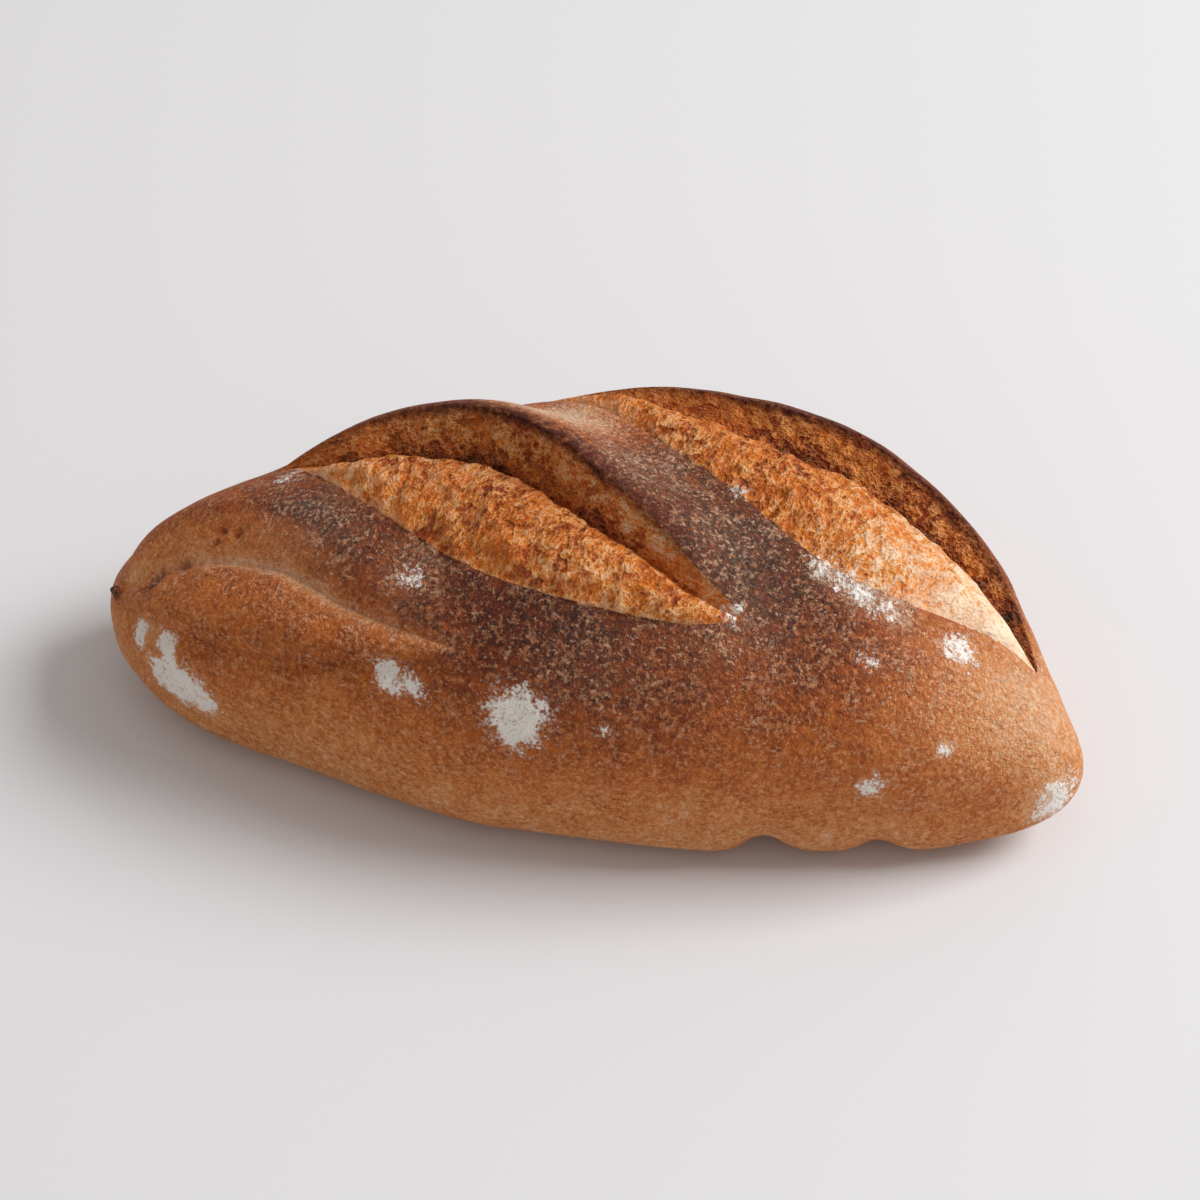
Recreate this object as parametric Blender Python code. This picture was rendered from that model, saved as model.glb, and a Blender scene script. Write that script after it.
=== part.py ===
"""A sourdough loaf: a batard with three long scores that opened into ears in the oven.

The loaf lies along X, its underside flat on the floor at z = 0 and the origin under its middle. Every point
of the surface has a station, from -1 at the left end to 1 at the right end, and a roll, the angle round the
loaf from its top (0 degrees) towards its back (90 degrees, +Y) or its front (-90 degrees, -Y).
"""

import math

import bmesh
import bpy
import numpy as np
from mathutils import Vector, noise

# Driving sizes of the loaf, in metres
LENGTH = 0.288
FRONT_REACH = 0.064  # widest half of the plan on the front side
BACK_REACH = 0.0795
CROWN = 0.088  # top of the crust between the scores
BELLY = 0.034  # height at which the sides stand out furthest
END_RISE = 0.0225  # height of the two end points
SINK = 0.003  # how far the rounded underside would pass below the floor
LEFT_BEND = 0.0045  # how far each end curves towards the front
RIGHT_BEND = 0.0135

# Each outline's peak along the loaf, how blunt its two ends are (2 is an ellipse) and its taper to them
FRONT_OUTLINE = {"peak": -0.17, "blunt": (2.3, 1.8), "taper": (0.06, 0.24)}
BACK_OUTLINE = {"peak": 0.34, "blunt": (2.25, 3.0), "taper": (0.56, 0.75)}
CROWN_OUTLINE = {"peak": 0.14, "blunt": (2.3, 2.6), "taper": (0.25, 0.33)}
UNDERSIDE_FULLNESS = 4.5
# The left half of the front is drawn in: where along the loaf, over what reach and by what share
DRAWN_IN = {"station": -0.52, "reach": 0.34, "share": 0.125}

UPPER_SQUARENESS = 2.15  # 2 is an ellipse in cross-section, more is squarer
LOWER_SQUARENESS = 4.0

# The scores. The crevice is where the opened crumb runs in under the ear, and the lip is the crumb's other
# edge. Both are (x in metres, roll in degrees) from the back end of the cut to its front end, and share
# those two ends. ear and wall are how high the ear's rim stands and how far behind the crevice it is, lean is
# how far it hangs forward, and ear_peak is where along the cut it is highest. depth is the crevice's,
# deepest at depth_peak, and bulge the crumb's, which lies nearer the lip with a smaller bulge_skew.
# lip_rise is how proud the crust's cut edge stands, or the depth of its crease.
SCORES = (
    {
        "crevice": (
            (-0.138, -54), (-0.132, -43), (-0.118, -33), (-0.103, -32), (-0.083, -37), (-0.064, -47),
            (-0.044, -52), (-0.025, -55),
        ),
        "lip": (
            (-0.138, -54), (-0.130, -63), (-0.110, -65), (-0.088, -67), (-0.074, -66), (-0.057, -63),
            (-0.040, -60), (-0.025, -55),
        ),
        "ear": 0.004,
        "ear_peak": 0.30,
        "wall": 0.016,
        "lean": 0.001,
        "depth": 0.002,
        "depth_peak": 0.5,
        "bulge": 0.0038,
        "bulge_skew": 0.60,
        "crags": 0.35,
        "lip_rise": -0.0012,
        "rim_round": 0.0040,
    },
    {
        "crevice": (
            (-0.098, 30), (-0.078, 19), (-0.058, 17), (-0.040, 13), (-0.020, 3), (-0.002, -9), (0.017, -19),
            (0.033, -27), (0.048, -32),
        ),
        "lip": (
            (-0.098, 30), (-0.087, 18), (-0.070, -3), (-0.050, -20), (-0.030, -31), (-0.008, -36),
            (0.016, -38), (0.034, -37), (0.048, -32),
        ),
        "ear": 0.0128,
        "ear_peak": 0.48,
        "wall": 0.011,
        "lean": 0.003,
        "depth": 0.004,
        "depth_peak": 0.42,
        "bulge": 0.0040,
        "bulge_skew": 0.85,
        "crags": 1.0,
        "lip_rise": 0.0008,
        "rim_round": 0.0012,
    },
    {
        "crevice": (
            (-0.030, 60), (0.000, 50), (0.021, 43), (0.045, 38), (0.070, 38), (0.088, 37), (0.102, 37),
            (0.113, 32), (0.127, 20),
        ),
        "lip": (
            (-0.030, 60), (-0.008, 43), (0.019, 23), (0.046, 6), (0.066, -4), (0.086, -4), (0.103, 3),
            (0.118, 14), (0.127, 20),
        ),
        "ear": 0.0098,
        "ear_peak": 0.55,
        "wall": 0.010,
        "lean": 0.003,
        "depth": 0.006,
        "depth_peak": 0.75,
        "bulge": 0.0040,
        "bulge_skew": 0.85,
        "crags": 1.0,
        "lip_rise": 0.0008,
        "rim_round": 0.0012,
    },
)
WALL_CURVE = 0.85  # 1 is a straight slope from crevice to rim, less is steeper at its foot
WALL_SHARE = 0.6  # how slowly a wall gets shorter where its ear is lower
RIM_CUT = 0.25  # how much of its rounding a rim loses in height
ROUTE_SAMPLES = 160
BLOCK = 20000  # points that are measured against a route at once
TINY = 1e-9
WIDEST_OPENING = 0.060  # more than the width of any opening
FULL_OPENING = 0.016  # width from which an opening's crumb bulges and sinks fully
CREVICE_GAP = 0.0028  # width of the crevice on the crumb's side
EAR_FADE = 0.024  # how far behind its rim an ear sinks back into the crust
LIP_WIDTH = 0.003  # width of the raised or sunken line along a lip
NARROW_GAP = 0.3  # the most of an opening's width that its crevice takes

# Pits torn in the scores: (x, roll, radius, depth)
PITS = (
    (-0.117, -34, 0.0020, 0.0020),
    (-0.125, -43, 0.0032, 0.0030),
    (-0.100, -18, 0.0016, 0.0010),
    (-0.105, -15, 0.0016, 0.0010),
    (0.049, 38, 0.0035, 0.0025),
)
# Arches where the front of the underside is folded in, clear of the floor: (x, half width, depth)
ARCHES = (
    (0.060, 0.0065, 0.0060),
    (0.091, 0.0060, 0.0036),
)
ARCH_START = 96  # roll in degrees at which an arch begins, and at which it reaches its full depth
ARCH_FULL = 128
NUB = (-0.1385, -53, 0.0018, 0.0028)  # a burnt point where the left score starts

LUMP_SIZE = 0.040  # slow unevenness of the crust
LUMP_RISE = 0.0012
CRAG_SIZE = 0.0075  # torn crumb
CRAG_RISE = 0.0012

PLAN_SHIFT = (-0.0003, 0.0082, 0.0)  # puts the middle of the finished loaf's plan at the origin
SOURCE_DETAIL = 8  # subdivisions of the sphere that the loaf is shaped from
VOXEL = 0.0013
KEPT_SHARE = 0.075  # of the remeshed faces
FLOOR_SLAB = 0.02

CRUST_COLOUR = (0.28, 0.10, 0.035, 1.0)
CRUST_ROUGHNESS = 0.7


def outline(station, peak, blunt, taper):
    """1 at the peak, falling to 0 at both ends."""
    rightward = station > peak
    reach = np.where(rightward, 1.0 - peak, 1.0 + peak)
    share = np.clip(np.abs(station - peak) / reach, 0.0, 1.0)
    cap = np.sqrt(1.0 - share ** np.where(rightward, *blunt[::-1]))
    return cap * (1.0 - np.where(rightward, *taper[::-1]) * share**2)


def loaf_points(directions):
    """Points of the unscored loaf for unit vectors (one row each)."""
    station = np.clip(directions[:, 0], -1.0, 1.0)
    roll = np.arctan2(directions[:, 1], directions[:, 2])
    belly = END_RISE + (BELLY - END_RISE) * (1.0 - station**2)
    front = FRONT_REACH * outline(station, **FRONT_OUTLINE)
    front *= 1.0 - DRAWN_IN["share"] * np.exp(-(((station - DRAWN_IN["station"]) / DRAWN_IN["reach"]) ** 2))
    back = BACK_REACH * outline(station, **BACK_OUTLINE)
    above = (CROWN - BELLY) * outline(station, **CROWN_OUTLINE)
    below = (belly + SINK) * np.sqrt(1.0 - np.abs(station) ** UNDERSIDE_FULLNESS)
    side = np.where(np.sin(roll) > 0, back, front)
    upper = np.cos(roll) > 0
    rise = np.where(upper, above, below)
    squareness = np.where(upper, UPPER_SQUARENESS, LOWER_SQUARENESS)
    across = (np.abs(np.sin(roll)) / np.maximum(side, TINY)) ** squareness
    upright = (np.abs(np.cos(roll)) / np.maximum(rise, TINY)) ** squareness
    radius = (across + upright) ** (-1.0 / squareness)
    bend = np.where(station > 0, RIGHT_BEND, LEFT_BEND) * station**2
    sideways = radius * np.sin(roll) - bend
    return np.column_stack((station * LENGTH / 2, sideways, belly + radius * np.cos(roll)))


def smooth(share):
    """Eases from 0 to 1 as share does."""
    share = np.clip(share, 0.0, 1.0)
    return share * share * (3.0 - 2.0 * share)


def swell(share, peak):
    """0 at both ends of a score and 1 at the peak."""
    return np.sin(math.pi * np.clip(share, 0.0, 1.0) ** (math.log(0.5) / math.log(peak)))


def unit(vectors):
    return vectors / np.maximum(np.linalg.norm(vectors, axis=1, keepdims=True), TINY)


def directions_of(places):
    """Unit vectors for places given as (x, roll)."""
    stations = np.array([x for x, _ in places]) / (LENGTH / 2)
    rolls = np.radians([roll for _, roll in places])
    ring = np.sqrt(1.0 - stations**2)
    return np.column_stack((stations, ring * np.sin(rolls), ring * np.cos(rolls)))


def route_points(route):
    """Points on the unscored loaf along a smooth curve through a route's (x, roll) points."""
    knots = directions_of(route)
    knots = np.vstack((2 * knots[0] - knots[1], knots, 2 * knots[-1] - knots[-2]))
    place = np.linspace(0.0, len(route) - 1.0, ROUTE_SAMPLES)
    span = np.minimum(place.astype(int), len(route) - 2)
    t = (place - span)[:, None]
    a, b, c, d = (knots[span + k] for k in range(4))
    curve = 0.5 * (2 * b + (c - a) * t + (2 * a - 5 * b + 4 * c - d) * t**2 + (3 * b - a - 3 * c + d) * t**3)
    return loaf_points(unit(curve))


def nearest_on_route(points, normals, route):
    """For each point: its share of the route's length, its signed distance from the route (positive on the
    ear's side) and the direction of that distance."""
    line = route_points(route)
    tangents = unit(np.gradient(line, axis=0))
    length = np.concatenate(([0.0], np.cumsum(np.linalg.norm(np.diff(line, axis=0), axis=1))))
    nearest = np.empty(len(points), int)
    for start in range(0, len(points), BLOCK):
        block = points[start : start + BLOCK]
        gaps = (line**2).sum(1)[None, :] - 2.0 * block @ line.T
        nearest[start : start + BLOCK] = gaps.argmin(1)
    offset = points - line[nearest]
    tangent = tangents[nearest]
    half_step = 0.5 * length[-1] / ROUTE_SAMPLES
    along = np.clip((offset * tangent).sum(1), -half_step, half_step)
    offset -= along[:, None] * tangent
    sideways = unit(np.cross(normals, tangent))
    distance = np.linalg.norm(offset, axis=1) * np.sign((offset * sideways).sum(1))
    share = np.clip((length[nearest] + along) / length[-1], 0.0, 1.0)
    return share, distance, sideways


def score_offsets(points, normals, score):
    """How a score moves each point of the unscored loaf, and how craggy its torn crumb or wall is there."""
    share, across, sideways = nearest_on_route(points, normals, score["crevice"])
    _, within, _ = nearest_on_route(points, normals, score["lip"])
    width = np.maximum(np.abs(across) + np.abs(within), TINY)
    opened = smooth(width / FULL_OPENING)
    deep = score["depth"] * np.sqrt(swell(share, score["depth_peak"]))
    lifted = swell(share, score["ear_peak"])

    in_crumb = (across <= 0.0) & (within > 0.0) & (width < WIDEST_OPENING)
    towards_crevice = np.clip(within / width, 0.0, 1.0)
    mound = score["bulge"] * opened * np.sin(math.pi * towards_crevice ** score["bulge_skew"])
    gap = np.minimum(CREVICE_GAP, NARROW_GAP * width)
    crumb = mound - deep * smooth((across + gap) / gap)
    lip = score["lip_rise"] * opened * np.exp(-(((within + LIP_WIDTH / 2) / LIP_WIDTH) ** 2))

    wall = np.maximum(score["wall"] * lifted**WALL_SHARE, TINY)
    ear = score["ear"] * lifted
    climb = np.clip(across / wall, 0.0, 1.0)
    fade = 1.0 - smooth((across - wall) / EAR_FADE)
    off_rim = np.clip(np.abs(across - wall) / score["rim_round"], 0.0, 1.0)
    rim_loss = RIM_CUT * score["rim_round"] * (1.0 - off_rim) ** 2 * lifted
    on_wall = (across > 0.0) & (across < wall)
    ear_side = np.where(on_wall, (deep + ear) * climb**WALL_CURVE - deep, ear * fade) - rim_loss
    lean = -score["lean"] * lifted * np.where(on_wall, climb**2, fade) * (across > 0.0)

    out = np.where(across > 0.0, ear_side, lip + np.where(in_crumb, crumb, 0.0))
    crags = score["crags"] * np.where(in_crumb, opened, np.where(on_wall, lifted, 0.0))
    return out[:, None] * normals + lean[:, None] * sideways, crags


def bump(points, x, roll, radius):
    """1 at a place on the unscored loaf, fading to 0 round it."""
    middle = loaf_points(directions_of(((x, roll),)))
    return np.exp(-((points - middle) ** 2).sum(1) / radius**2)


def dents(points, directions):
    """How deep each point lies in a pit or an arch, less the rise of the nub."""
    total = -NUB[-1] * bump(points, *NUB[:-1])
    for *place, depth in PITS:
        total += depth * bump(points, *place)
    roll = np.degrees(np.arctan2(directions[:, 1], directions[:, 2]))
    beneath = smooth((-roll - ARCH_START) / (ARCH_FULL - ARCH_START))
    for x, half_width, depth in ARCHES:
        total += depth * beneath * np.exp(-(((points[:, 0] - x) / half_width) ** 2))
    return total


def unevenness(points, size):
    """Smooth random heights between about -1 and 1, with lumps of the given size."""
    return np.array([noise.noise(Vector(p) / size) for p in points])


def vertex_normals(points, triangles):
    """Outward unit normals, averaged over the triangles round each point."""
    corners = points[triangles]
    facing = np.cross(corners[:, 1] - corners[:, 0], corners[:, 2] - corners[:, 0])
    total = np.zeros_like(points)
    for corner in range(3):
        for axis in range(3):
            total[:, axis] += np.bincount(triangles[:, corner], facing[:, axis], len(points))
    return unit(total)


def source_sphere():
    """Unit vectors and triangles of a sphere."""
    bm = bmesh.new()
    bmesh.ops.create_icosphere(bm, subdivisions=SOURCE_DETAIL, radius=1.0)
    bm.verts.index_update()
    directions = unit(np.array([v.co for v in bm.verts]))
    triangles = np.array([[v.index for v in f.verts] for f in bm.faces])
    bm.free()
    return directions, triangles


def scored_loaf():
    """(points, triangles) of the whole loaf, its underside still round."""
    directions, triangles = source_sphere()
    unscored = loaf_points(directions)
    normals = vertex_normals(unscored, triangles)
    points = unscored.copy()
    rise = LUMP_RISE * unevenness(unscored, LUMP_SIZE) - dents(unscored, directions)
    for score in SCORES:
        moves, crags = score_offsets(unscored, normals, score)
        points += moves
        rise += CRAG_RISE * crags * unevenness(unscored, CRAG_SIZE)
    points += rise[:, None] * normals
    return points - np.array(PLAN_SHIFT), triangles


def crust_material():
    material = bpy.data.materials.new("crust")
    material.use_nodes = True
    shader = material.node_tree.nodes["Principled BSDF"]
    shader.inputs["Base Color"].default_value = CRUST_COLOUR
    shader.inputs["Roughness"].default_value = CRUST_ROUGHNESS
    return material


def floor_cutter():
    """A slab whose top is the floor, which cuts the loaf's flat underside."""
    bm = bmesh.new()
    bmesh.ops.create_cube(bm, size=1.0)
    bmesh.ops.scale(bm, verts=bm.verts, vec=(2 * LENGTH, 2 * LENGTH, FLOOR_SLAB))
    bmesh.ops.translate(bm, verts=bm.verts, vec=(0.0, 0.0, -FLOOR_SLAB / 2))
    mesh = bpy.data.meshes.new("floor_cutter")
    bm.to_mesh(mesh)
    bm.free()
    cutter = bpy.data.objects.new("floor_cutter", mesh)
    bpy.context.scene.collection.objects.link(cutter)
    cutter.hide_render = True
    cutter.display_type = "WIRE"
    return cutter


def loaf():
    points, triangles = scored_loaf()
    mesh = bpy.data.meshes.new("loaf")
    mesh.from_pydata(points.tolist(), [], triangles.tolist())
    mesh.shade_smooth()
    mesh.materials.append(crust_material())
    obj = bpy.data.objects.new("loaf", mesh)
    bpy.context.scene.collection.objects.link(obj)
    even = obj.modifiers.new("even_faces", "REMESH")
    even.mode = "VOXEL"
    even.voxel_size = VOXEL
    fewer = obj.modifiers.new("fewer_faces", "DECIMATE")
    fewer.ratio = KEPT_SHARE
    flat = obj.modifiers.new("flat_underside", "BOOLEAN")
    flat.operation = "DIFFERENCE"
    flat.object = floor_cutter()
    return obj


def main():
    for old in list(bpy.data.objects):
        bpy.data.objects.remove(old)
    loaf()


main()
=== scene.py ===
"""The looks of the sourdough loaf: its fine surface, crust, torn crumb and flour, on a pale floor.

The loaf is shaped as in the CAD model, with more points and finer relief. Every point of the surface has a
station, from -1 at the left end to 1 at the right end, and a roll, the angle round the loaf from its top
(0 degrees) towards its back (90 degrees, +Y) or its front (-90 degrees, -Y). Sizes are in metres.
"""

import math

import bmesh
import bpy
import numpy as np
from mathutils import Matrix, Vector, noise


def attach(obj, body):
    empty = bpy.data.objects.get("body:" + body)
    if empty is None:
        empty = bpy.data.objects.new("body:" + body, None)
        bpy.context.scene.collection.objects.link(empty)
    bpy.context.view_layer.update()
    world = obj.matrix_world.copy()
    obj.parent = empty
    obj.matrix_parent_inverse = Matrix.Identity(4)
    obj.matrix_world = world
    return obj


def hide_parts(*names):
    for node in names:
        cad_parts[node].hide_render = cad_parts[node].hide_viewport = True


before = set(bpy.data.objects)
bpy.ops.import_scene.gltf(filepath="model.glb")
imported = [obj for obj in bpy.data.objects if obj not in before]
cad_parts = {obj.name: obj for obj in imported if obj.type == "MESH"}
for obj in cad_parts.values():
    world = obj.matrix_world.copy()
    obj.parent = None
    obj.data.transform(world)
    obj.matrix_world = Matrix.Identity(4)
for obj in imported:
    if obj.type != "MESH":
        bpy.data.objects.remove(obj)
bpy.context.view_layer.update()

# Driving sizes of the loaf
LENGTH = 0.288
FRONT_REACH = 0.064  # widest half of the plan on the front side
BACK_REACH = 0.0795
CROWN = 0.088  # top of the crust between the scores
BELLY = 0.034  # height at which the sides stand out furthest
END_RISE = 0.0225  # height of the two end points
SINK = 0.003  # how far the rounded underside would pass below the floor
LEFT_BEND = 0.0045  # how far each end curves towards the front
RIGHT_BEND = 0.0135

# Each outline's peak along the loaf, how blunt its ends are (2 is an ellipse) and how much it tapers
# towards them
FRONT_OUTLINE = {"peak": -0.17, "blunt": (2.3, 1.8), "taper": (0.06, 0.24)}
BACK_OUTLINE = {"peak": 0.34, "blunt": (2.25, 3.0), "taper": (0.56, 0.75)}
CROWN_OUTLINE = {"peak": 0.14, "blunt": (2.3, 2.6), "taper": (0.25, 0.33)}
UNDERSIDE_FULLNESS = 4.5  # how blunt the underside's ends are
# The left half of the front is drawn in: where along the loaf, over what reach and by what share
DRAWN_IN = {"station": -0.52, "reach": 0.34, "share": 0.125}

UPPER_SQUARENESS = 2.15  # 2 is an ellipse in cross-section, more is squarer
LOWER_SQUARENESS = 4.0

# The scores. The crevice is where the opened crumb runs in under the ear, and the lip is the crumb's other
# edge. Both are (x, roll in degrees) from the back end of the cut to its front end, and share those two
# ends. ear and wall are how high the ear's rim stands and how far behind the crevice it is, lean is how far
# it hangs forward, and ear_peak is where along the cut it is highest. depth is the crevice's, deepest at
# depth_peak, and bulge the crumb's, which lies nearer the lip with a smaller bulge_skew. crags is how craggy
# the torn surface is, and rim_round how wide the rim's rounding is. lip_rise is how proud the crust's cut
# edge stands, or the depth of its crease. Three values are for the cut's back end, its middle and its front
# end. The tones go from 0, pale, to 1, dark, and those of the crevice, the rim and the lip are added to the
# others. coarseness is the torn crumb's and wall_coarseness the wall's, gold is how golden the crumb is,
# edge_width how gradually it passes into the crust, in millimetres, and burnt how much darker the ear's edge
# is. A skinned score closed over with crust as it baked.
SCORES = (
    {
        "crevice": (
            (-0.138, -54), (-0.132, -43), (-0.118, -33), (-0.103, -32), (-0.083, -37), (-0.064, -47),
            (-0.044, -52), (-0.025, -55),
        ),
        "lip": (
            (-0.138, -54), (-0.130, -63), (-0.110, -65), (-0.088, -67), (-0.074, -66), (-0.057, -63),
            (-0.040, -60), (-0.025, -55),
        ),
        "ear": 0.004,
        "ear_peak": 0.30,
        "wall": 0.016,
        "lean": 0.001,
        "depth": 0.002,
        "depth_peak": 0.5,
        "bulge": 0.0038,
        "bulge_skew": 0.60,
        "crags": 0.35,
        "lip_rise": -0.0012,
        "rim_round": 0.0040,
        "crumb_tones": (0.40, 0.48, 0.52),
        "wall_tones": (0.26, 0.44, 0.72),
        # Paler along the crease: painted light on the crease's lit edge
        "crevice_painted_shade_and_light": (0.0, -0.34, -0.38),
        "rim_tone": 0.10,
        # Painted shade in the crease at the lip
        "lip_tone_and_crease_shade": 0.14,
        "coarseness": (0.15, 0.15, 0.20),
        "wall_coarseness": (0.15, 0.15, 0.15),
        "gold": (0.0, 0.0, 0.0),
        "edge_width": 4.0,
        "burnt": 0.0,
        "skinned": True,
    },
    {
        "crevice": (
            (-0.098, 30), (-0.078, 19), (-0.058, 17), (-0.040, 13), (-0.020, 3), (-0.002, -9),
            (0.017, -19), (0.033, -27), (0.048, -32),
        ),
        "lip": (
            (-0.098, 30), (-0.087, 18), (-0.070, -3), (-0.050, -20), (-0.030, -31), (-0.008, -36),
            (0.016, -38), (0.034, -37), (0.048, -32),
        ),
        "ear": 0.0128,
        "ear_peak": 0.48,
        "wall": 0.011,
        "lean": 0.003,
        "depth": 0.004,
        "depth_peak": 0.42,
        "bulge": 0.0040,
        "bulge_skew": 0.85,
        "crags": 1.0,
        "lip_rise": 0.0008,
        "rim_round": 0.0012,
        "crumb_tones": (0.25, 0.54, 0.42),
        "wall_tones": (0.44, 0.45, 0.32),
        # Painted shade down the crevice
        "crevice_painted_shade_and_light": (0.50, 0.46, 0.12),
        "rim_tone": 0.10,
        "lip_tone_and_crease_shade": -0.20,
        "coarseness": (0.8, 1.0, 0.9),
        "wall_coarseness": (1.0, 1.0, 0.6),
        "gold": (0.75, 0.20, 0.05),
        "edge_width": 0.6,
        "burnt": 0.95,
        "skinned": False,
    },
    {
        "crevice": (
            (-0.030, 60), (0.000, 50), (0.021, 43), (0.045, 38), (0.070, 38), (0.088, 37), (0.102, 37),
            (0.113, 32), (0.127, 20),
        ),
        "lip": (
            (-0.030, 60), (-0.008, 43), (0.019, 23), (0.046, 6), (0.066, -4), (0.086, -4), (0.103, 3),
            (0.118, 14), (0.127, 20),
        ),
        "ear": 0.0098,
        "ear_peak": 0.55,
        "wall": 0.010,
        "lean": 0.003,
        "depth": 0.006,
        "depth_peak": 0.75,
        "bulge": 0.0040,
        "bulge_skew": 0.85,
        "crags": 1.0,
        "lip_rise": 0.0008,
        "rim_round": 0.0012,
        "crumb_tones": (0.32, 0.55, 0.06),
        "wall_tones": (0.44, 0.43, 0.58),
        # Painted shade down the crevice
        "crevice_painted_shade_and_light": (0.05, 0.56, 0.85),
        "rim_tone": 0.14,
        "lip_tone_and_crease_shade": -0.10,
        "coarseness": (0.9, 1.0, 0.15),
        "wall_coarseness": (1.1, 1.2, 0.9),
        "gold": (0.85, 0.25, 0.0),
        "edge_width": 0.6,
        "burnt": 0.95,
        "skinned": False,
    },
)
WALL_CURVE = 0.85  # 1 is a straight slope from crevice to rim, less is steeper at its foot
WALL_SHARE = 0.6  # how slowly a wall gets shorter where its ear is lower
RIM_CUT = 0.25  # how much of its rounding a rim loses in height
ROUTE_SAMPLES = 160
BLOCK = 20000  # points that are measured against a route at once
TINY = 1e-9
WIDEST_OPENING = 0.060  # more than the width of any opening
FULL_OPENING = 0.016  # width from which an opening's crumb bulges and sinks fully
CREVICE_GAP = 0.0028  # width of the crevice on the crumb's side
EAR_FADE = 0.024  # how far behind its rim an ear sinks back into the crust
LIP_WIDTH = 0.003  # width of the raised or sunken line along a lip
NARROW_GAP = 0.3  # the most of an opening's width that its crevice takes

# Pits torn in the scores: (x, roll, radius, depth)
PITS = (
    (-0.117, -34, 0.0020, 0.0020),
    (-0.125, -43, 0.0032, 0.0030),
    (-0.100, -18, 0.0016, 0.0010),
    (-0.105, -15, 0.0016, 0.0010),
    (0.049, 38, 0.0035, 0.0025),
)
# Arches where the front of the underside is folded in, clear of the floor: (x, half width, depth)
ARCHES = (
    (0.060, 0.0065, 0.0060),
    (0.091, 0.0060, 0.0036),
)
# The roll at which an arch begins, and the one at which it reaches its full depth
ARCH_START = 96
ARCH_FULL = 128
NUB = (-0.1385, -53, 0.0018, 0.0028)  # a burnt point where the left score starts

LUMP_SIZE = 0.040  # slow unevenness of the crust
LUMP_RISE = 0.0012
CRAG_SIZE = 0.0075  # torn crumb
CRAG_RISE = 0.0012

PLAN_SHIFT = (-0.0003, 0.0082, 0.0)  # puts the middle of the finished loaf's plan at the origin

# Darker spots in the scores: the burnt nub where the left score starts, and painted shade in and round the
# pits: (x, roll, radius, how much darker)
SCORCHED_AND_PIT_SHADE = (
    (-0.1385, -53, 0.0026, 0.7),
    (-0.117, -34, 0.0021, 0.6),
    (-0.125, -43, 0.0036, 0.6),
    (-0.105, -15, 0.0012, 0.5),
    (-0.100, -18, 0.0012, 0.5),
    (-0.107, -21, 0.0009, 0.5),
    (0.046, 39, 0.0036, 0.28),
    (0.053, 38, 0.0030, 0.24),
)
# Flour along the crease of a score that skinned over, with painted light on the crease's lit edge, and its
# width
CREASE_FLOUR_AND_LIGHT = 0.50
CREASE_WIDTH = 0.0034
# How dark the crust is at the least, low on the loaf and high on it, and the heights of those two
PALEST_BAKE = 0.14
PALE_BAKE = 0.26
DARK_BAKE = 0.60
PALE_HEIGHT = 0.006
DARK_HEIGHT = 0.070
# The torn fibres' stretch: 0 is as wide as long, nearer 1 longer across the cut, below 0 longer along it
FIBRE_STRETCH = 0.40
WALL_STRETCH = -1.0
BURNT_WIDTH = 0.0075  # how far behind its rim an ear is burnt
RIM_BAND = 0.0030  # and how far before it
RIM_START = 0.45  # how far up a wall the rim's tone starts
LIP_LINE = 0.0007  # how wide the lip's tone is, which on the left score is painted shade in the crease at its lip
# How wide the tone painted down a crevice is: painted shade in an open score, painted light along the
# skinned score's crease
CREVICE_SHADE_WIDTH = 0.0030
CREVICE_SHADE_FRONT = 0.5  # how wide the crevice's painted shade is on the crumb's side, against the wall's
RAGGED = 0.8  # how uneven that width is, and over what size
RAGGED_SIZE = 0.006
MM_PER_METRE = 1000.0
EDGE_REACH = 5.0  # how far the torn edge is carried on the points, in its own widths

# Finer relief, which only this file has: (size, rise) on the crust and in the torn crumb
CRUST_RELIEF = ((0.012, 0.00035),)
CRUMB_RELIEF = ((0.0040, 0.00065), (0.0024, 0.00050))

START_DETAIL = 5  # subdivisions of the sphere that the loaf is shaped from
REFINEMENTS = 7  # how often its long edges are halved
# The longest edges on the crust, in the torn crumb and along a score's lines, and how they grow away from
# those
CRUST_EDGE = 0.0034
CRUMB_EDGE = 0.0011
LINE_EDGE = 0.0007
EDGE_GROWTH = 0.35

# Flour on the crust: (x, roll, radius, density)
FLOUR = (
    (-0.0085, -70, 0.0088, 1.0),
    (-0.0465, -66, 0.0050, 0.9),
    (-0.039, -67, 0.0045, 0.7),
    (-0.1165, -71, 0.0045, 0.9),
    (-0.1145, -79, 0.0050, 0.9),
    (-0.1105, -88, 0.0080, 1.0),
    (-0.104, -92, 0.0060, 0.9),
    (-0.119, -88, 0.0055, 0.85),
    (-0.127, -69, 0.0030, 0.9),
    (-0.127, -75, 0.0030, 0.8),
    (-0.0455, -36, 0.0052, 0.50),
    (0.0455, -30, 0.0048, 0.48),
    (0.066, -6, 0.0055, 0.50),
    (0.072, -8, 0.0055, 0.54),
    (0.078, -9, 0.0055, 0.54),
    (0.084, -9, 0.0055, 0.50),
    (0.106, -9.5, 0.0062, 0.58),
    (0.088, -78, 0.0045, 0.75),
    (0.106, -55, 0.0028, 0.75),
    (0.138, -96, 0.0082, 0.80),
    (0.015, -70, 0.0024, 0.65),
    (0.083, -30, 0.0040, 0.46),
    (-0.091, 14, 0.0060, 0.46),
    (0.0385, 11, 0.0032, 0.55),
)
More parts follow.
